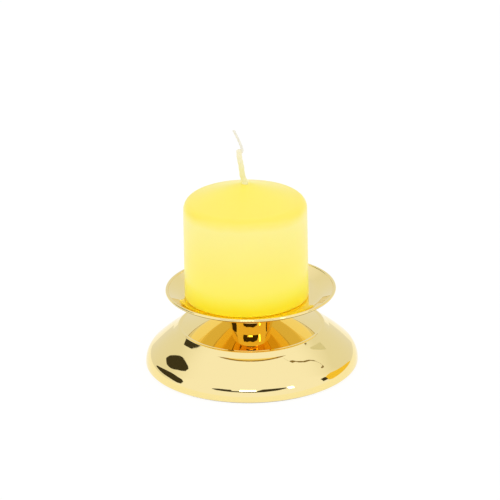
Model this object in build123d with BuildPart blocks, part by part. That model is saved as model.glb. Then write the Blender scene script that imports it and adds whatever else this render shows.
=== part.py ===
"""Footed candle plate in polished gold brass, with a spike in its dish and a pillar candle on the spike.

Millimetres. The plate's axis is Z, the table is z = 0, and the plate's front is towards -Y.
"""

import os
from math import asin, cos, degrees, radians, sin, tan

from build123d import *

os.makedirs("parts", exist_ok=True)

# Foot: one spun sheet, from the flat seat in its middle to the turned-in rim
foot_diameter = 100.0
foot_sheet = 0.9
rim_bend = 1.1
rim_turn_in = 5.0
shoulder_radius = 9.8
shoulder_slope = 43.0
dome_radius = 95.0
bead_outside = 36.7
bead_flank_run = 2.6
bead_flank_slope = 43.0
bead_crown = 1.5
bead_step = 0.15
bead_inside_round = 0.35
cone_slope = 14.15

# Felt ring glued under the turned-in rim
felt_thickness = 0.5
felt_margin = 0.5

# Neck: a turned collar between the foot's seat and the dish, a little hollow along its side
neck_foot_radius = 12.4
neck_top_radius = 12.5
neck_hollow = 0.0143
neck_land = 0.1

# Dish: one spun sheet with a pressed well in its middle and a bead along its edge
dish_diameter = 80.0
dish_sheet = 1.0
dish_floor_height = 34.0
dish_wall_foot = 32.5
dish_bend = 8.0
dish_rim_height = 37.1
lip_radius = 0.75
well_radius = 6.4
well_depth = 1.6
well_draft = 0.8
well_bend = 1.4

# Spike: point, flange and threaded shank turned from one bar
spike_length = 18.0
spike_root_radius = 1.9
spike_tip_radius = 0.35
flange_radius = 4.8
flange_thickness = 1.3
shank_radius = 2.5
shank_end = 1.6

# Clamp under the foot: plate, split washer and nut
clamp_radius = 11.0
clamp_thickness = 1.5
lock_radius = 4.6
lock_thickness = 1.2
lock_slit = 0.9
nut_across_flats = 8.0
nut_height = 4.0
nut_chamfer = 0.5

# Candle, standing a little off the plate's axis
candle_diameter = 57.6
candle_shift = -1.9
candle_side_top = 77.3
candle_edge = 1.2
candle_draft = 0.25
candle_shoulder = 5.0
candle_cone_slope = 13.0
candle_peak_radius = 3.0
candle_peak_rise = 2.8
candle_peak_rim = 0.4

# Wick: a stiff waxed braid, straight in the wax and bent where it stands free
wick_radius = 0.85
wick_above_spike = 4.0
wick_bend = 2.2
wick_stub = 0.5
wick_turns = [(-0.9, 3.4), (-1.5, 8.6), (-2.2, 12.7), (-1.9, 14.2), (-0.85, 15.9), (-2.2, 20.4), (-4.6, 25.9)]

# Clearances
bore_gap = 0.05
seat_gap = 0.2
wax_gap = 0.3
wick_gap = 0.03

# The foot's outer line, worked from the rim up to the bead: the shoulder runs into the dome
foot_radius = foot_diameter / 2
rim_bottom = felt_thickness
shoulder_base = rim_bottom + rim_bend
rim_inside = foot_radius - rim_turn_in
shoulder_turn = radians(shoulder_slope)
shoulder_sweep = shoulder_slope - 90
shoulder_inset = foot_radius - shoulder_radius
shoulder_facing = Vector(sin(shoulder_turn), cos(shoulder_turn))
dome_centre = Vector(shoulder_inset, shoulder_base) - shoulder_facing * (dome_radius - shoulder_radius)
dome_turn = asin((bead_outside - dome_centre.X) / dome_radius)
dome_sweep = degrees(dome_turn) - shoulder_slope
bead_foot = dome_centre + Vector(sin(dome_turn), cos(dome_turn)) * dome_radius
bead_edge = bead_foot + Vector(-bead_flank_run, bead_flank_run * tan(radians(bead_flank_slope)))
crease = bead_edge - Vector(bead_crown, bead_step)

# Heights and bores up the stack
seat_height = crease.Y + (crease.X - neck_foot_radius) * tan(radians(cone_slope))
dish_underside = dish_floor_height - dish_sheet
flange_seat = dish_floor_height - well_depth
flange_top = flange_seat + flange_thickness
spike_top = flange_top + spike_length
clamp_top = seat_height - foot_sheet
lock_top = clamp_top - clamp_thickness
nut_top = lock_top - lock_thickness
nut_bottom = nut_top - nut_height
shank_bottom = nut_bottom - shank_end
shank_bore = shank_radius + bore_gap

# Spun foot
with BuildPart() as base_shell:
    with BuildSketch(Plane.XZ):
        with BuildLine():
            seat = Line((shank_bore, seat_height), (neck_foot_radius, seat_height))
            Line(seat @ 1, (crease.X, crease.Y))
            FilletPolyline(
                (crease.X, crease.Y),
                (bead_edge.X, bead_edge.Y),
                (bead_foot.X, bead_foot.Y),
                radius=bead_inside_round + foot_sheet,
            )
            CenterArc((dome_centre.X, dome_centre.Y), dome_radius, 90 - degrees(dome_turn), dome_sweep)
            CenterArc((shoulder_inset, shoulder_base), shoulder_radius, 90 - shoulder_slope, shoulder_sweep)
            bend = CenterArc((foot_radius - rim_bend, shoulder_base), rim_bend, 0, -90)
            Line(bend @ 1, (rim_inside, rim_bottom))
            offset(amount=foot_sheet, side=Side.RIGHT)
        make_face()
    revolve(axis=Axis.Z)
base_shell.part.label = "base_shell"
export_step(base_shell.part, "parts/base_shell.step")

# Felt ring under the rim
with BuildPart() as foot_pad:
    with BuildSketch(Plane.XY):
        Circle(foot_radius - rim_bend - felt_margin)
        Circle(rim_inside + felt_margin, mode=Mode.SUBTRACT)
    extrude(amount=felt_thickness)
foot_pad.part.label = "foot_pad"
export_step(foot_pad.part, "parts/foot_pad.step")

# Turned neck, hollowed at its top to clear the dish's well
neck_low = seat_height + neck_land
neck_high = dish_underside - neck_land
neck_rise = Vector(neck_top_radius - neck_foot_radius, neck_high - neck_low)
neck_inward = Vector(-neck_rise.Y, neck_rise.X).normalized()
neck_middle = Vector(neck_foot_radius, neck_low) + neck_rise / 2 + neck_inward * neck_hollow * neck_rise.length
well_clear = well_radius + well_draft + dish_sheet + seat_gap
well_pocket = flange_seat - dish_sheet - seat_gap
with BuildPart() as neck:
    with BuildSketch(Plane.XZ):
        with BuildLine():
            Polyline(
                (neck_top_radius, neck_high),
                (neck_top_radius, dish_underside),
                (well_clear, dish_underside),
                (well_clear, well_pocket),
                (shank_bore, well_pocket),
                (shank_bore, seat_height),
                (neck_foot_radius, seat_height),
                (neck_foot_radius, neck_low),
            )
            ThreePointArc(
                (neck_foot_radius, neck_low), (neck_middle.X, neck_middle.Y), (neck_top_radius, neck_high)
            )
        make_face()
    revolve(axis=Axis.Z)
neck.part.label = "neck"
export_step(neck.part, "parts/neck.step")

# Spun dish: well, floor, sloped wall and beaded edge
lip_centre = dish_diameter / 2 - lip_radius
wall_run = Vector(lip_centre - dish_wall_foot, dish_rim_height - dish_floor_height)
wall_facing = Vector(-wall_run.Y, wall_run.X).normalized()
wall_end = Vector(lip_centre, dish_rim_height) + wall_facing * dish_sheet / 2
with BuildPart() as drip_dish:
    with BuildSketch(Plane.XZ):
        with BuildLine():
            FilletPolyline(
                (shank_bore, flange_seat),
                (well_radius, flange_seat),
                (well_radius + well_draft, dish_floor_height),
                (dish_wall_foot, dish_floor_height),
                (wall_end.X, wall_end.Y),
                radius=[well_bend / 4, well_bend, dish_bend],
            )
            offset(amount=dish_sheet, side=Side.RIGHT)
        make_face()
        with Locations((lip_centre, dish_rim_height)):
            Circle(lip_radius)
    revolve(axis=Axis.Z)
drip_dish.part.label = "drip_dish"
export_step(drip_dish.part, "parts/drip_dish.step")

# Spike, flange and shank in one turning
with BuildPart() as candle_spike:
    with BuildSketch(Plane.XZ):
        with BuildLine():
            Polyline(
                (0, shank_bottom),
                (shank_radius, shank_bottom),
                (shank_radius, flange_seat),
                (flange_radius, flange_seat),
                (flange_radius, flange_top),
                (spike_root_radius, flange_top),
                (spike_tip_radius, spike_top),
                (0, spike_top),
                close=True,
            )
        make_face()
    revolve(axis=Axis.Z)
candle_spike.part.label = "candle_spike"
export_step(candle_spike.part, "parts/candle_spike.step")

# Clamp plate under the foot's seat
with BuildPart() as clamp_plate:
    with BuildSketch(Plane.XY.offset(lock_top)):
        Circle(clamp_radius)
        Circle(shank_bore, mode=Mode.SUBTRACT)
    extrude(amount=clamp_thickness)
clamp_plate.part.label = "clamp_plate"
export_step(clamp_plate.part, "parts/clamp_plate.step")

# Split lock washer, pressed flat by the nut
with BuildPart() as lock_washer:
    with BuildSketch(Plane.XY.offset(nut_top)):
        Circle(lock_radius)
        Circle(shank_bore, mode=Mode.SUBTRACT)
        with Locations((lock_radius / 2, 0)):
            Rectangle(lock_radius, lock_slit, mode=Mode.SUBTRACT)
    extrude(amount=lock_thickness)
lock_washer.part.label = "lock_washer"
export_step(lock_washer.part, "parts/lock_washer.step")

# Hexagon nut with its outer edges turned off
with BuildPart() as hex_nut:
    with BuildSketch(Plane.XY.offset(nut_bottom)):
        RegularPolygon(nut_across_flats / 2, 6, major_radius=False)
        Circle(shank_bore, mode=Mode.SUBTRACT)
    extrude(amount=nut_height)
    chamfer(hex_nut.edges().filter_by(GeomType.LINE).group_by(Axis.Z)[0], nut_chamfer)
hex_nut.part.label = "hex_nut"
export_step(hex_nut.part, "parts/hex_nut.step")

# Poured pillar candle, with the hole that the spike makes and the hole that the wick fills
candle_radius = candle_diameter / 2
base_radius = candle_radius + candle_draft
bottom_radius = base_radius - candle_edge
cone_turn = radians(candle_cone_slope)
crown_radius = candle_radius - candle_shoulder
cone_facing = Vector(sin(cone_turn), cos(cone_turn))
cone_start = Vector(crown_radius, candle_side_top) + cone_facing * candle_shoulder
cone_end_height = cone_start.Y + (cone_start.X - candle_peak_radius) * tan(cone_turn)
candle_peak_height = cone_end_height + candle_peak_rise
spike_hole_top = spike_top + wax_gap
wick_foot = spike_top + wick_above_spike
wick_hole = wick_radius + wick_gap
candle_plane = Plane.XZ.move(Location((candle_shift, 0, 0)))
with BuildPart() as candle_wax:
    with BuildSketch(candle_plane):
        with BuildLine():
            Line((0, dish_floor_height), (bottom_radius, dish_floor_height))
            edge = CenterArc((bottom_radius, dish_floor_height + candle_edge), candle_edge, -90, 90)
            Line(edge @ 1, (candle_radius, candle_side_top))
            CenterArc((crown_radius, candle_side_top), candle_shoulder, 0, 90 - candle_cone_slope)
            Polyline(
                (cone_start.X, cone_start.Y),
                (candle_peak_radius, cone_end_height),
                (wick_hole + candle_peak_rim, candle_peak_height),
                (0, candle_peak_height),
                (0, dish_floor_height),
            )
        make_face()
    revolve(axis=Axis((candle_shift, 0, 0), (0, 0, 1)))
    with BuildSketch(Plane.XZ):
        with BuildLine():
            Polyline(
                (0, dish_floor_height),
                (spike_root_radius + wax_gap, dish_floor_height),
                (spike_tip_radius + wax_gap, spike_hole_top),
                (0, spike_hole_top),
                close=True,
            )
        make_face()
    revolve(axis=Axis.Z, mode=Mode.SUBTRACT)
    with BuildSketch(Plane((candle_shift, 0, wick_foot))):
        Circle(wick_hole)
    extrude(amount=candle_peak_height - wick_foot, mode=Mode.SUBTRACT)
candle_wax.part.label = "candle_wax"
export_step(candle_wax.part, "parts/candle_wax.step")

# Wick, from its foot in the wax to its free end
with BuildPart() as wick:
    with BuildLine():
        FilletPolyline(
            (candle_shift, 0, wick_foot),
            (candle_shift, 0, candle_peak_height + wick_stub),
            *[(candle_shift + lean, 0, candle_peak_height + rise) for lean, rise in wick_turns],
            radius=wick_bend,
        )
    with BuildSketch(Plane((candle_shift, 0, wick_foot))):
        Circle(wick_radius)
    sweep()
wick.part.label = "wick"
export_step(wick.part, "parts/wick.step")
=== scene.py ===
import math

import bmesh
import bpy
from mathutils import Matrix, Quaternion, Vector


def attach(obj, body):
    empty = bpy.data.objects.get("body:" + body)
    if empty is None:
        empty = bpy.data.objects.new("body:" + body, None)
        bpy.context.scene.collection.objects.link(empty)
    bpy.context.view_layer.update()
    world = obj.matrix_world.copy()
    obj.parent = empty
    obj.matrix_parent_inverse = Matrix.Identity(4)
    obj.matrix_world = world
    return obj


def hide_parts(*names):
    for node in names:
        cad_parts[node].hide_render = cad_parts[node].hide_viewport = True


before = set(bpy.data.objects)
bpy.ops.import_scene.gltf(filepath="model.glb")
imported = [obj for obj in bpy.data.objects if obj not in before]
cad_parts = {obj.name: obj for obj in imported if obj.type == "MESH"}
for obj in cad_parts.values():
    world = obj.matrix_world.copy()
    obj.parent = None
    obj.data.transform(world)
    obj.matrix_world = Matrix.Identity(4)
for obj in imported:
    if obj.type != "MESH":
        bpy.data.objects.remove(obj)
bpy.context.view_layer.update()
mm = 0.001


# Foot
# A round of thin brass sheet spun over a former: upright rim, rounded shoulder, sloping dome, a raised bead
# and a shallow cone up to the neck. It is polished bright, gold plated and clear lacquered.
def draw_start(bm, radius, height):
    return bm.verts.new((radius * mm, 0, height * mm))


def draw_to(bm, pen, radius, height):
    pen = bmesh.ops.extrude_vert_indiv(bm, verts=[pen])["verts"][0]
    pen.co = (radius * mm, 0, height * mm)
    return pen


def draw_arc(bm, pen, centre, degrees, steps=24):
    radius, height = centre
    swept = bmesh.ops.spin(
        bm,
        geom=[pen],
        cent=(radius * mm, 0, height * mm),
        axis=(0, 1, 0),
        angle=math.radians(degrees),
        steps=steps,
    )
    return [vert for vert in swept["geom_last"] if isinstance(vert, bmesh.types.BMVert)][0]


def turn_on_lathe(bm, steps, axis_x=0):
    bmesh.ops.spin(
        bm,
        geom=bm.verts[:] + bm.edges[:],
        cent=(axis_x * mm, 0, 0),
        axis=(0, 0, 1),
        angle=math.tau,
        steps=steps,
        use_merge=True,
    )
    bmesh.ops.remove_doubles(bm, verts=bm.verts, dist=1e-7)
    bmesh.ops.recalc_face_normals(bm, faces=bm.faces)


def set_down(bm, name, material, crease=5):
    mesh = bpy.data.meshes.new(name)
    bm.to_mesh(mesh)
    bm.free()
    mesh.materials.append(material)
    mesh.shade_smooth()
    mesh.set_sharp_from_angle(angle=math.radians(crease))
    piece = bpy.data.objects.new(name, mesh)
    bpy.context.scene.collection.objects.link(piece)
    return piece


def new_finish(name, inputs):
    material = bpy.data.materials.new(name)
    material.use_nodes = True
    tree = material.node_tree
    shader = tree.nodes["Principled BSDF"]
    for key, value in inputs.items():
        shader.inputs[key].default_value = value
    return material, tree, shader


def add_node(tree, kind, inputs=None, **settings):
    node = tree.nodes.new(kind)
    for key, value in settings.items():
        setattr(node, key, value)
    for key, value in (inputs or {}).items():
        node.inputs[key].default_value = value
    return node


def add_noise(tree, scale, detail, roughness=0.5):
    coords = add_node(tree, "ShaderNodeTexCoord")
    noise = add_node(tree, "ShaderNodeTexNoise", {"Scale": scale, "Detail": detail, "Roughness": roughness})
    tree.links.new(coords.outputs["Object"], noise.inputs["Vector"])
    return noise.outputs["Fac"]


def add_range(tree, source, given, wanted):
    span = add_node(
        tree,
        "ShaderNodeMapRange",
        {"From Min": given[0], "From Max": given[1], "To Min": wanted[0], "To Max": wanted[1]},
    )
    tree.links.new(source, span.inputs["Value"])
    return span.outputs["Result"]


def facing(slope):
    slope = math.radians(slope)
    return Vector((math.sin(slope), math.cos(slope)))


gold_colour = (0.945, 0.775, 0.33, 1)
gold, tree, shader = new_finish("polished_gold", {"Metallic": 1, "Base Color": gold_colour})
haze = add_range(tree, add_noise(tree, 60, 4, 0.6), (0.35, 0.75), (0.012, 0.04))
tree.links.new(haze, shader.inputs["Roughness"])

foot_radius = 50
foot_sheet = 0.9
foot_bottom = 0.5
rim_bend = 1.1
rim_turn_in = 5
shoulder_round = 9.8
shoulder_slope = 43
dome_round = 95
bead_outside = 36.7
bead_flank_run = 2.6
bead_flank_slope = 43
bead_crown = 1.5
bead_step = 0.15
bead_round = 1.25
cone_slope = 14.15
seat_radius = 12.4
shank_bore = 2.55

rim_inside = foot_radius - rim_turn_in
rim_bend_centre = Vector((foot_radius - rim_bend, foot_bottom + rim_bend))
shoulder_centre = Vector((foot_radius - shoulder_round, foot_bottom + rim_bend))
dome_centre = shoulder_centre - facing(shoulder_slope) * (dome_round - shoulder_round)
dome_end_slope = math.degrees(math.asin((bead_outside - dome_centre.x) / dome_round))
bead_flank = facing(bead_flank_slope)
bead_flank_down = Vector((bead_flank.y, -bead_flank.x))
bead_foot = dome_centre + facing(dome_end_slope) * dome_round
bead_edge = bead_foot - bead_flank_down * (bead_flank_run / bead_flank_down.x)
bead_turn = bead_flank_slope + math.degrees(math.atan2(bead_step, bead_crown))
bead_start = bead_edge + bead_flank_down * bead_round * math.tan(math.radians(bead_turn / 2))
cone_foot = bead_edge - Vector((bead_crown, bead_step))
seat_height = cone_foot.y + (cone_foot.x - seat_radius) * math.tan(math.radians(cone_slope))

foot = bmesh.new()
pen = draw_start(foot, rim_inside, foot_bottom)
pen = draw_to(foot, pen, rim_bend_centre.x, foot_bottom)
pen = draw_arc(foot, pen, rim_bend_centre, -90)
pen = draw_arc(foot, pen, shoulder_centre, shoulder_slope - 90, steps=32)
pen = draw_arc(foot, pen, dome_centre, dome_end_slope - shoulder_slope)
pen = draw_to(foot, pen, *bead_start)
pen = draw_arc(foot, pen, bead_start - bead_flank * bead_round, -bead_turn)
pen = draw_to(foot, pen, *cone_foot)
pen = draw_to(foot, pen, seat_radius, seat_height)
pen = draw_to(foot, pen, shank_bore, seat_height)
turn_on_lathe(foot, steps=256)
bmesh.ops.solidify(foot, geom=foot.faces[:], thickness=foot_sheet * mm)
foot = set_down(foot, "spun_foot", gold)
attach(foot, "plate")
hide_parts("base_shell")


# Felt ring
# Pressed felt, cut as a ring and glued under the turned-in rim so that the metal never touches the table.
# It sits just inside the edge and only a dark line of it shows.
def add_ramp(tree, source, first, last, between=()):
    ramp = add_node(tree, "ShaderNodeValToRGB")
    ramp.color_ramp.elements[0].color = first
    ramp.color_ramp.elements[1].color = last
    for place, colour in between:
        ramp.color_ramp.elements.new(place).color = colour
    tree.links.new(source, ramp.inputs["Fac"])
    return ramp.outputs["Color"]


def add_bump(tree, source, strength, distance):
    bump = add_node(tree, "ShaderNodeBump", {"Strength": strength, "Distance": distance})
    tree.links.new(source, bump.inputs["Height"])
    return bump.outputs["Normal"]


felt, tree, shader = new_finish("pressed_felt", {"Roughness": 1, "Sheen Weight": 0.4})
fibres = add_noise(tree, 900, 6, 0.7)
tint = add_ramp(tree, fibres, (0.012, 0.010, 0.008, 1), (0.045, 0.038, 0.030, 1))
tree.links.new(tint, shader.inputs["Base Color"])
tree.links.new(add_bump(tree, fibres, 0.6, 0.0002), shader.inputs["Normal"])

felt_margin = 0.5
felt_round = 0.08
felt_inside = rim_inside + felt_margin
felt_outside = foot_radius - rim_bend - felt_margin

ring = bmesh.new()
pen = draw_start(ring, felt_inside, felt_round)
pen = draw_arc(ring, pen, (felt_inside + felt_round, felt_round), -90, steps=20)
pen = draw_to(ring, pen, felt_outside - felt_round, 0)
pen = draw_arc(ring, pen, (felt_outside - felt_round, felt_round), -90, steps=20)
pen = draw_to(ring, pen, felt_outside, foot_bottom)
pen = draw_to(ring, pen, felt_inside, foot_bottom)
pen = draw_to(ring, pen, felt_inside, felt_round)
turn_on_lathe(ring, steps=192)
ring = set_down(ring, "felt_ring", felt)
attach(ring, "plate")
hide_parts("foot_pad")

# Neck
# A short brass collar turned on a lathe, almost straight and slightly hollow along its side.
# A pocket in its top clears the dish's well, and the spike's shank runs down through its bore.
neck_top_radius = 12.5
neck_top = 33
neck_land = 0.1
neck_hollow = 0.0143
pocket_radius = 8.4
pocket_depth = 1.8

pocket_floor = neck_top - pocket_depth
hollow_foot = Vector((seat_radius, seat_height + neck_land))
hollow_rise = Vector((neck_top_radius, neck_top - neck_land)) - hollow_foot
hollow_depth = hollow_rise.length * neck_hollow
hollow_round = (hollow_rise.length**2 / 4 + hollow_depth**2) / (2 * hollow_depth)
hollow_outward = Vector((hollow_rise.y, -hollow_rise.x)).normalized()
hollow_centre = hollow_foot + hollow_rise / 2 + hollow_outward * (hollow_round - hollow_depth)
hollow_sweep = math.degrees(2 * math.asin(hollow_rise.length / 2 / hollow_round))

neck = bmesh.new()
pen = draw_start(neck, shank_bore, seat_height)
pen = draw_to(neck, pen, seat_radius, seat_height)
pen = draw_to(neck, pen, *hollow_foot)
pen = draw_arc(neck, pen, hollow_centre, hollow_sweep, steps=32)
pen = draw_to(neck, pen, neck_top_radius, neck_top)
pen = draw_to(neck, pen, pocket_radius, neck_top)
pen = draw_to(neck, pen, pocket_radius, pocket_floor)
pen = draw_to(neck, pen, shank_bore, pocket_floor)
pen = draw_to(neck, pen, shank_bore, seat_height)
turn_on_lathe(neck, steps=192)
neck = set_down(neck, "turned_neck", gold)
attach(neck, "plate")
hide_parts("neck")


# Drip dish
# A second round of sheet, spun shallow: a pressed well for the spike's flange, a flat floor, a sloped wall
# and an edge rolled over into a bead. It is polished and plated with the foot, with a painted shade line
# along the underside of the roll.
def object_axes(tree):
    coords = add_node(tree, "ShaderNodeTexCoord")
    axes = add_node(tree, "ShaderNodeSeparateXYZ")
    tree.links.new(coords.outputs["Object"], axes.inputs["Vector"])
    return axes.outputs


dish_sheet = 1
dish_floor = neck_top + dish_sheet
dish_bend = 8
dish_bend_radius = 30.47
dish_slope = 28.52
well_radius = 6.4
well_draft = 0.8
well_depth = 1.6
lip_radius = 39.25
lip_rise = 3.1
lip_round = 0.727
lip_start_slope = 17.86
lip_sweep = 272.8
shade_line_slope = math.radians(60)
shade_line_start = 0.484
shade_line_blend = 0.1
shade_line_colour = (0.32, 0.20, 0.05, 1)

# The painted shade line is a strip where the roll lies furthest outwards and down, along a line that points
# 60 degrees down
dish_gold = gold.copy()
dish_gold.name = "gold_with_painted_lip_shade"
tree = dish_gold.node_tree
lip_centre = Vector((lip_radius, dish_floor + lip_rise))
outwards = math.cos(shade_line_slope)
downwards = math.sin(shade_line_slope)
coords = add_node(tree, "ShaderNodeTexCoord")
across = add_node(tree, "ShaderNodeVectorMath", {1: (outwards, outwards, 0)}, operation="MULTIPLY")
tree.links.new(coords.outputs["Object"], across.inputs[0])
reach = add_node(tree, "ShaderNodeVectorMath", operation="LENGTH")
tree.links.new(across.outputs["Vector"], reach.inputs[0])
under = add_node(tree, "ShaderNodeMath", {1: -downwards}, operation="MULTIPLY_ADD")
tree.links.new(object_axes(tree)["Z"], under.inputs[0])
tree.links.new(reach.outputs["Value"], under.inputs[2])
strip = lip_centre.x * outwards - lip_centre.y * downwards + shade_line_start
painted_lip_shade = add_range(tree, under.outputs["Value"], (strip * mm, (strip + shade_line_blend) * mm), (0, 1))
# Painted shade: the gold turns dark brown along this strip under the rolled lip
tint = add_ramp(tree, painted_lip_shade, gold_colour, shade_line_colour)
tree.links.new(tint, tree.nodes["Principled BSDF"].inputs["Base Color"])

well_floor = dish_floor - well_depth
well_rim = well_radius + well_draft
well_corner = dish_sheet * math.tan(math.atan2(well_depth, well_draft) / 2)
dish_bend_centre = Vector((dish_bend_radius, dish_floor + dish_bend))
wall_down = -facing(-dish_slope)
lip_start = lip_centre - facing(lip_start_slope) * lip_round

dish = bmesh.new()
pen = draw_start(dish, shank_bore, well_floor - dish_sheet)
pen = draw_to(dish, pen, well_radius + well_corner, well_floor - dish_sheet)
pen = draw_to(dish, pen, well_rim + well_corner, neck_top)
pen = draw_to(dish, pen, dish_bend_radius, neck_top)
pen = draw_arc(dish, pen, dish_bend_centre, -dish_slope)
pen = draw_to(dish, pen, *lip_start)
pen = draw_arc(dish, pen, lip_centre, -lip_sweep, steps=90)
pen = draw_to(dish, pen, *(dish_bend_centre + wall_down * dish_bend))
pen = draw_arc(dish, pen, dish_bend_centre, dish_slope)
pen = draw_to(dish, pen, well_rim, dish_floor)
pen = draw_to(dish, pen, well_radius, well_floor)
pen = draw_to(dish, pen, shank_bore, well_floor)
pen = draw_to(dish, pen, shank_bore, well_floor - dish_sheet)
turn_on_lathe(dish, steps=256)
dish = set_down(dish, "spun_dish", dish_gold)
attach(dish, "plate")
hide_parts("drip_dish")

# Spike
# One turning from brass bar: a slim point that goes up into the candle, a flange that sits in the well and a
# threaded shank that hangs down through dish, neck and foot. The thread's ridges are rings that don't climb.
shank_radius = 2.5
shank_below_seat = 9.2
thread_root = 2.1
thread_pitch = 0.8
thread_ridges = 10
flange_radius = 4.8
flange_thickness = 1.3
flange_edge = 0.2
spike_length = 18
spike_root = 1.9
spike_tip = 0.35
spike_blunt = 0.2
spike_blunt_radius = 0.2

shank_end = seat_height - shank_below_seat
flange_top = well_floor + flange_thickness
spike_top = flange_top + spike_length

spike = bmesh.new()
pen = draw_start(spike, 0, shank_end)
for ridge in range(thread_ridges):
    pen = draw_to(spike, pen, thread_root, shank_end + ridge * thread_pitch)
    pen = draw_to(spike, pen, shank_radius, shank_end + (ridge + 0.5) * thread_pitch)
pen = draw_to(spike, pen, shank_radius, well_floor)
pen = draw_to(spike, pen, flange_radius - flange_edge, well_floor)
pen = draw_arc(spike, pen, (flange_radius - flange_edge, well_floor + flange_edge), -90, steps=20)
pen = draw_to(spike, pen, flange_radius, flange_top - flange_edge)
pen = draw_arc(spike, pen, (flange_radius - flange_edge, flange_top - flange_edge), -90, steps=20)
pen = draw_to(spike, pen, spike_root, flange_top)
pen = draw_to(spike, pen, spike_tip, spike_top - spike_blunt)
pen = draw_to(spike, pen, spike_blunt_radius, spike_top)
pen = draw_to(spike, pen, 0, spike_top)
turn_on_lathe(spike, steps=96)
spike = set_down(spike, "candle_point", gold)
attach(spike, "plate")
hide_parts("candle_spike")

# Clamp plate, split washer and nut
# Stock steel parts, zinc plated, hidden under the foot. The nut pulls the shank down, the split washer keeps
# it from working loose and the plate spreads the pull over the thin sheet.
steel, tree, shader = new_finish("zinc_plated_steel", {"Metallic": 1})
coords = add_node(tree, "ShaderNodeTexCoord")
spangle = add_node(tree, "ShaderNodeTexVoronoi", {"Scale": 700})
tree.links.new(coords.outputs["Object"], spangle.inputs["Vector"])
tint = add_ramp(tree, spangle.outputs["Distance"], (0.50, 0.50, 0.49, 1), (0.66, 0.66, 0.64, 1))
tree.links.new(tint, shader.inputs["Base Color"])
worn = add_range(tree, add_noise(tree, 300, 5), (0, 1), (0.22, 0.42))
tree.links.new(worn, shader.inputs["Roughness"])
for name in ("clamp_plate", "lock_washer", "hex_nut"):
    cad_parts[name].data.materials.clear()
    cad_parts[name].data.materials.append(steel)

# Candle
# Yellow wax poured in a straight mould: flat base with a soft edge, upright side, rounded shoulder and a low
# cone that climbs to the wick. The spike has pressed its own hole up into the base, a little off the middle.
candle_x = -1.9
candle_radius = 28.8
candle_draft = 0.25
candle_edge = 1.2
candle_side_top = 77.3
candle_shoulder = 5
candle_slope = 18
crest_radius = 5
crest_sweep = 13
collar_radius = 1.28
candle_top = 90.03
hole_gap = 0.3
painted_light_top = 90

# Painted light by height: the deep yellow at the base paints light thrown up by the gold dish, the pale band
# high on the side paints a sheen, and the top is deeper yellow again
wax, tree, shader = new_finish(
    "poured_wax",
    {
        "Subsurface Weight": 0.2,
        "Subsurface Radius": (1.0, 0.7, 0.2),
        "Subsurface Scale": 0.003,
        "Specular IOR Level": 0.42,
    },
)
cloud = add_noise(tree, 35, 5, 0.55)
drift = add_node(tree, "ShaderNodeMath", {1: 0.12, 2: -0.06}, operation="MULTIPLY_ADD")
tree.links.new(cloud, drift.inputs[0])
rise = add_range(tree, object_axes(tree)["Z"], (dish_floor * mm, painted_light_top * mm), (0, 1))
mottle = add_node(tree, "ShaderNodeMath", operation="ADD")
tree.links.new(rise, mottle.inputs[0])
tree.links.new(drift.outputs["Value"], mottle.inputs[1])
# Painted light: the low stops paint the dish's warm reflected light, and the pale stop near 0.74 paints a
# sheen
painted_light_up_the_side = (
    (0.05, (0.99, 0.835, 0.018, 1)),
    (0.13, (0.98, 0.875, 0.085, 1)),
    (0.2, (0.98, 0.87, 0.125, 1)),
    (0.4, (0.97, 0.833, 0.165, 1)),
    (0.74, (0.96, 0.845, 0.26, 1)),
    (0.83, (0.96, 0.80, 0.11, 1)),
)
tint = add_ramp(tree, mottle.outputs["Value"], (0.99, 0.80, 0.005, 1), (0.96, 0.82, 0.11, 1), painted_light_up_the_side)
tree.links.new(tint, shader.inputs["Base Color"])
tree.links.new(add_range(tree, cloud, (0, 1), (0.26, 0.36)), shader.inputs["Roughness"])
tree.links.new(add_bump(tree, cloud, 0.05, 0.0004), shader.inputs["Normal"])

base_x = candle_x + candle_radius + candle_draft - candle_edge
shoulder_x = candle_x + candle_radius - candle_shoulder
cone_start = Vector((shoulder_x, candle_side_top)) + facing(candle_slope) * candle_shoulder
crest_x = candle_x + crest_radius
crest_start = cone_start.y + (cone_start.x - crest_x) * math.tan(math.radians(candle_slope))
crest_centre = crest_start - crest_radius / math.tan(math.radians(candle_slope))
hole_mouth = spike_root + hole_gap
hole_shrink = (spike_tip + hole_gap) / hole_mouth
hole_depth = spike_top + hole_gap - dish_floor

candle = bmesh.new()
pen = draw_start(candle, base_x, dish_floor)
pen = draw_arc(candle, pen, (base_x, dish_floor + candle_edge), -90)
pen = draw_to(candle, pen, candle_x + candle_radius, candle_side_top)
pen = draw_arc(candle, pen, (shoulder_x, candle_side_top), candle_slope - 90, steps=28)
pen = draw_to(candle, pen, crest_x, crest_start)
pen = draw_arc(candle, pen, (candle_x, crest_centre), -crest_sweep, steps=16)
pen = draw_to(candle, pen, candle_x + collar_radius, candle_top)
pen = draw_to(candle, pen, candle_x, candle_top)
turn_on_lathe(candle, steps=192, axis_x=candle_x)
base_rim = [edge for edge in candle.edges if edge.is_boundary]
base_level = Matrix.Translation((0, 0, dish_floor * mm))
mouth = bmesh.ops.create_circle(candle, segments=192, radius=hole_mouth * mm, matrix=base_level)
mouth = list({edge for vert in mouth["verts"] for edge in vert.link_edges})
bmesh.ops.bridge_loops(candle, edges=base_rim + mouth)
bore = bmesh.ops.extrude_edge_only(candle, edges=mouth)["geom"]
end = [vert for vert in bore if isinstance(vert, bmesh.types.BMVert)]
bmesh.ops.scale(candle, vec=(hole_shrink, hole_shrink, 1), verts=end)
bmesh.ops.translate(candle, vec=(0, 0, hole_depth * mm), verts=end)
bmesh.ops.contextual_create(candle, geom=end)
bmesh.ops.recalc_face_normals(candle, faces=candle.faces)
candle = set_down(candle, "pillar_candle", wax)
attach(candle, "candle")
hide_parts("candle_wax")


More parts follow.
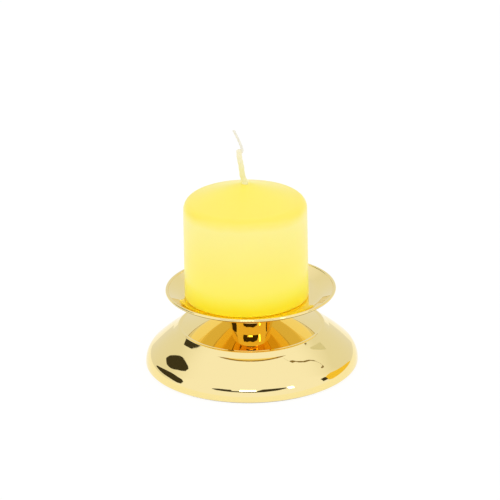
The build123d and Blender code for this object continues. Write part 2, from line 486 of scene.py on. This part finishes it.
# Wick
# Three cotton strands plaited and dipped. The lower part still wears a thick coat of wax, and above a kink
# the bare plait leans over to its cut end. It runs down the candle to just above the spike.
def run_through(turns, steps=24):
    turns = [Vector((x, 0, z)) * mm for x, z in turns]
    line = []
    for number, (here, there) in enumerate(zip(turns, turns[1:])):
        before = turns[max(number - 1, 0)]
        after = turns[min(number + 2, len(turns) - 1)]
        lead = (there - before) / 2
        trail = (after - here) / 2
        for step in range(steps):
            t = step / steps
            line.append(
                here * (2 * t**3 - 3 * t**2 + 1)
                + lead * (t**3 - 2 * t**2 + t)
                + there * (3 * t**2 - 2 * t**3)
                + trail * (t**3 - t**2)
            )
    return line + [turns[-1]]


def lay_cord(name, runs, thickness, material):
    cord = bpy.data.curves.new(name, "CURVE")
    cord.dimensions = "3D"
    cord.bevel_depth = 1
    cord.bevel_resolution = 3
    cord.use_fill_caps = True
    for run in runs:
        spline = cord.splines.new("POLY")
        spline.points.add(len(run) - 1)
        for knot, spot, wide in zip(spline.points, run, thickness):
            knot.co = (*spot, 1)
            knot.radius = wide * mm
    holder = bpy.data.objects.new(name, cord)
    bpy.context.scene.collection.objects.link(holder)
    bpy.context.view_layer.update()
    mesh = bpy.data.meshes.new_from_object(holder.evaluated_get(bpy.context.evaluated_depsgraph_get()))
    bpy.data.objects.remove(holder)
    bm = bmesh.new()
    bm.from_mesh(mesh)
    return set_down(bm, name, material, crease=60)


cotton, tree, shader = new_finish("waxed_cotton", {"Roughness": 0.6})
lint = add_noise(tree, 1500, 4)
tint = add_ramp(tree, lint, (0.80, 0.77, 0.66, 1), (0.88, 0.85, 0.75, 1))
tree.links.new(tint, shader.inputs["Base Color"])
tree.links.new(add_bump(tree, lint, 0.4, 0.0001), shader.inputs["Normal"])

wick_above_spike = 4
wick_in_wax = [(candle_x, spike_top + wick_above_spike), (candle_x, 74)]
wick_to_kink = [(candle_x, 90.43), (-2.8, 93.4), (-3.4, 98.6), (-4.1, 102.7)]
wick_to_end = [(-3.8, 104.2), (-2.75, 105.9), (-4.1, 110.4), (-6.5, 115.7)]
strand_count = 3
strand_radius = 0.38
strand_offset = 0.3
strand_lay = 5.5

wick_line = run_through(wick_in_wax + wick_to_kink + wick_to_end)
strands = []
for strand in range(strand_count):
    turn = strand * math.tau / strand_count
    run = []
    for before, spot in zip(wick_line[:1] + wick_line, wick_line):
        turn += (spot - before).length / (strand_lay * mm) * math.tau
        run.append(spot + Vector((math.cos(turn), math.sin(turn), 0)) * strand_offset * mm)
    strands.append(run)
plait = lay_cord("wick_plait", strands, [strand_radius] * len(wick_line), cotton)
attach(plait, "candle")
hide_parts("wick")

# The coat of wax on the wick is yellow at its foot and paler towards the kink
pale_from = 96
pale_to = 104
coat, tree, shader = new_finish("wick_wax", {"Roughness": 0.4})
runs = add_noise(tree, 700, 3)
rise = add_range(tree, object_axes(tree)["Z"], (pale_from * mm, pale_to * mm), (0, 0.7))
mottle = add_node(tree, "ShaderNodeMath", {1: 0.3}, operation="MULTIPLY_ADD")
tree.links.new(runs, mottle.inputs[0])
tree.links.new(rise, mottle.inputs[2])
tint = add_ramp(tree, mottle.outputs["Value"], (0.86, 0.81, 0.38, 1), (0.90, 0.84, 0.64, 1))
tree.links.new(tint, shader.inputs["Base Color"])
tree.links.new(add_bump(tree, runs, 0.5, 0.0003), shader.inputs["Normal"])

coat_foot = (candle_x, 88)
coat_end = (-4.2, 106.4)
coat_radius = 1.3
coat_flare = 0.35
coat_flare_steps = 16
coat_ripple = 0.06
coat_ripple_turn = 0.4
coat_end_radii = [1.2, 1.12, 1.02, 0.9, 0.74, 0.5]

dipped = run_through([coat_foot] + wick_to_kink + [coat_end])
bulk = []
for step in range(len(dipped) - len(coat_end_radii)):
    flare = coat_flare * math.exp(-step / coat_flare_steps)
    ripple = coat_ripple * math.sin(step * coat_ripple_turn)
    bulk.append(coat_radius + flare + ripple)
sleeve = lay_cord("wick_coat", [dipped], bulk + coat_end_radii, coat)
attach(sleeve, "candle")

# Studio
# A white paper sweep in even light, with the dark and bright things of the room that the polished metal picks
# up hung round it. The camera looks down at the front as the photo does.
paper, tree, shader = new_finish("white_paper", {"Roughness": 1, "Specular IOR Level": 0})
tint = add_ramp(tree, add_noise(tree, 400, 3), (0.92, 0.92, 0.92, 1), (0.95, 0.95, 0.95, 1))
tree.links.new(tint, shader.inputs["Base Color"])
glow = add_node(tree, "ShaderNodeEmission", {"Color": (1, 1, 1, 1), "Strength": 1.02})
blend = add_node(tree, "ShaderNodeMixShader", {"Fac": 0.85})
tree.links.new(shader.outputs["BSDF"], blend.inputs[1])
tree.links.new(glow.outputs["Emission"], blend.inputs[2])
tree.links.new(blend.outputs["Shader"], tree.nodes["Material Output"].inputs["Surface"])
sweep = bmesh.new()
bmesh.ops.create_grid(sweep, x_segments=1, y_segments=1, size=2)
sweep = set_down(sweep, "paper_floor", paper)

# The world: white light on everything, plain white to the camera, and walls that the metal sees, a little
# greyer behind the object and below a height of about 45 degrees
world = bpy.data.worlds.new("studio")
bpy.context.scene.world = world
world.use_nodes = True
tree = world.node_tree
fill = tree.nodes["Background"]
fill.inputs["Color"].default_value = (1, 1, 1, 1)
fill.inputs["Strength"].default_value = 1.1
seen = add_node(tree, "ShaderNodeBackground", {"Color": (1, 1, 1, 1), "Strength": 1})
walls = add_node(tree, "ShaderNodeBackground", {"Strength": 1})
way = add_node(tree, "ShaderNodeTexCoord")
axes = add_node(tree, "ShaderNodeSeparateXYZ")
tree.links.new(way.outputs["Generated"], axes.inputs["Vector"])
shade = add_node(tree, "ShaderNodeMath", operation="MULTIPLY")
tree.links.new(add_range(tree, axes.outputs["Y"], (-0.1, 0.35), (0, 1)), shade.inputs[0])
tree.links.new(add_range(tree, axes.outputs["Z"], (0.55, 0.85), (1, 0)), shade.inputs[1])
tint = add_ramp(tree, shade.outputs["Value"], (1, 1.02, 1.2, 1), (0.83, 0.835, 0.87, 1))
tree.links.new(tint, walls.inputs["Color"])
path = add_node(tree, "ShaderNodeLightPath")
room = add_node(tree, "ShaderNodeMixShader")
tree.links.new(path.outputs["Is Glossy Ray"], room.inputs["Fac"])
tree.links.new(fill.outputs["Background"], room.inputs[1])
tree.links.new(walls.outputs["Background"], room.inputs[2])
direct = add_node(tree, "ShaderNodeMath", operation="MAXIMUM")
tree.links.new(path.outputs["Is Camera Ray"], direct.inputs[0])
tree.links.new(path.outputs["Is Transmission Ray"], direct.inputs[1])
blend = add_node(tree, "ShaderNodeMixShader")
tree.links.new(direct.outputs["Value"], blend.inputs["Fac"])
tree.links.new(room.outputs["Shader"], blend.inputs[1])
tree.links.new(seen.outputs["Background"], blend.inputs[2])
tree.links.new(blend.outputs["Shader"], tree.nodes["World Output"].inputs["Surface"])

dark = new_finish("dark_cloth", {"Roughness": 1, "Base Color": (0.035, 0.028, 0.012, 1)})[0]
warm = new_finish("warm_wood", {"Roughness": 1, "Base Color": (0.90, 0.62, 0.06, 1)})[0]
brown = new_finish("brown_edge", {"Roughness": 1, "Base Color": (0.22, 0.15, 0.05, 1)})[0]
grey = new_finish("grey_board", {"Roughness": 1, "Base Color": (0.68, 0.68, 0.62, 1)})[0]
bright = new_finish(
    "lamp_face",
    {"Base Color": (0, 0, 0, 1), "Emission Color": (1, 0.98, 0.94, 1), "Emission Strength": 8},
)[0]

# The hung panels: each station is a bearing from the front and the heights of the lower and the upper edge
# there, all in degrees as seen from the plate
panel_distance = 2.2
left_back_edge = [
    (-130.3, 25.6, 27.6),
    (-127, 27.2, 32.3),
    (-123.8, 28.7, 36.2),
    (-120.4, 30.9, 39.2),
    (-117, 33, 41.2),
    (-113.7, 35.8, 42.9),
    (-110.4, 38.8, 44.3),
    (-107, 41.4, 45.6),
    (-104, 44, 46),
]
left_edge = [
    (-125, 6, 9),
    (-118, 6, 17),
    (-112, 6.5, 23),
    (-106, 7, 27),
    (-100, 8, 28),
    (-93, 7.5, 27.5),
    (-86, 6.5, 26.5),
    (-80.5, 9, 20),
]
warm_edge = [
    (87, 5, 20),
    (92, 1, 24),
    (98, 0.5, 25),
    (106, 0.5, 19),
    (116, 0.5, 13),
    (124, 0.5, 8),
    (129, 0.5, 3),
]
grey_edge = [
    (121.5, 43.8, 45.5),
    (124, 39.5, 44.5),
    (126, 36.5, 42.5),
    (128, 33.8, 40.5),
    (129.2, 32.4, 38.8),
    (131.4, 33, 36.5),
    (133.4, 33.8, 35),
]
brown_line = [
    (92.2, 66.5, 68),
    (91.8, 64, 66),
    (91.6, 61.6, 63.9),
    (95.5, 59.7, 61.7),
    (97.4, 57, 58.8),
    (101.9, 52.9, 54.3),
    (107.1, 49, 50.2),
    (109.8, 45.2, 46.5),
    (110.5, 42.4, 43.5),
    (109.9, 40.5, 41.5),
    (109.1, 40.4, 41.4),
    (106.4, 42, 42.8),
]
hung = (
    ("dark_left_back", dark, left_back_edge),
    ("dark_left", dark, left_edge),
    ("dark_front_left", dark, [(-46, 27, 29), (-40, 24, 33), (-25, 23.5, 34.5), (-23, 23.5, 29)]),
    ("dark_front_middle", dark, [(-23, 23.5, 29), (5, 23.5, 29)]),
    ("dark_front_right", dark, [(5, 23.5, 30), (12, 23.5, 37.5), (28, 25, 36), (39, 29, 33)]),
    ("dark_right", dark, [(80, 9, 22), (87, 9, 22)]),
    ("warm_right", warm, warm_edge),
    ("grey_right_back", grey, grey_edge),
    ("brown_right", brown, brown_line),
    ("lamp_middle", bright, [(-15, 29.5, 35.5), (4, 29.5, 35.5)]),
    ("lamp_right", bright, [(40.5, 24, 34), (47, 24, 34)]),
)
for name, finish, stations in hung:
    last = len(stations) - 1
    panel = bmesh.new()
    bmesh.ops.create_grid(panel, x_segments=last, y_segments=1, size=0.5)
    for spot in panel.verts:
        bearing, low_edge, high_edge = stations[round((spot.co.x + 0.5) * last)]
        bearing = math.radians(bearing)
        climb = math.radians(high_edge if spot.co.y > 0 else low_edge)
        level = Vector((math.sin(bearing), -math.cos(bearing), 0)) * math.cos(climb)
        spot.co = (level + Vector((0, 0, math.sin(climb)))) * panel_distance
    panel = set_down(panel, name, finish)
    panel.visible_diffuse = False

camera_distance = 1.6
camera_tilt = math.radians(23.62)
camera_aim = Vector((0, 0, 56.4 * mm))
camera_lean = Quaternion((0, 0, 1), math.radians(-1.05))
lens = bpy.data.cameras.new("camera")
lens.sensor_width = 36
lens.lens = 243.67
lens.clip_start = 0.05
camera = bpy.data.objects.new("camera", lens)
camera.location = Vector((0, -math.cos(camera_tilt), math.sin(camera_tilt))) * camera_distance
camera.rotation_mode = "QUATERNION"
camera.rotation_quaternion = (camera_aim - camera.location).to_track_quat("-Z", "Y") @ camera_lean
scene = bpy.context.scene
scene.collection.objects.link(camera)
scene.camera = camera
scene.view_settings.view_transform = "Standard"
scene.cycles.max_bounces = 14
scene.cycles.glossy_bounces = 10
scene.cycles.diffuse_bounces = 8
scene.cycles.caustics_reflective = True
scene.cycles.blur_glossy = 0
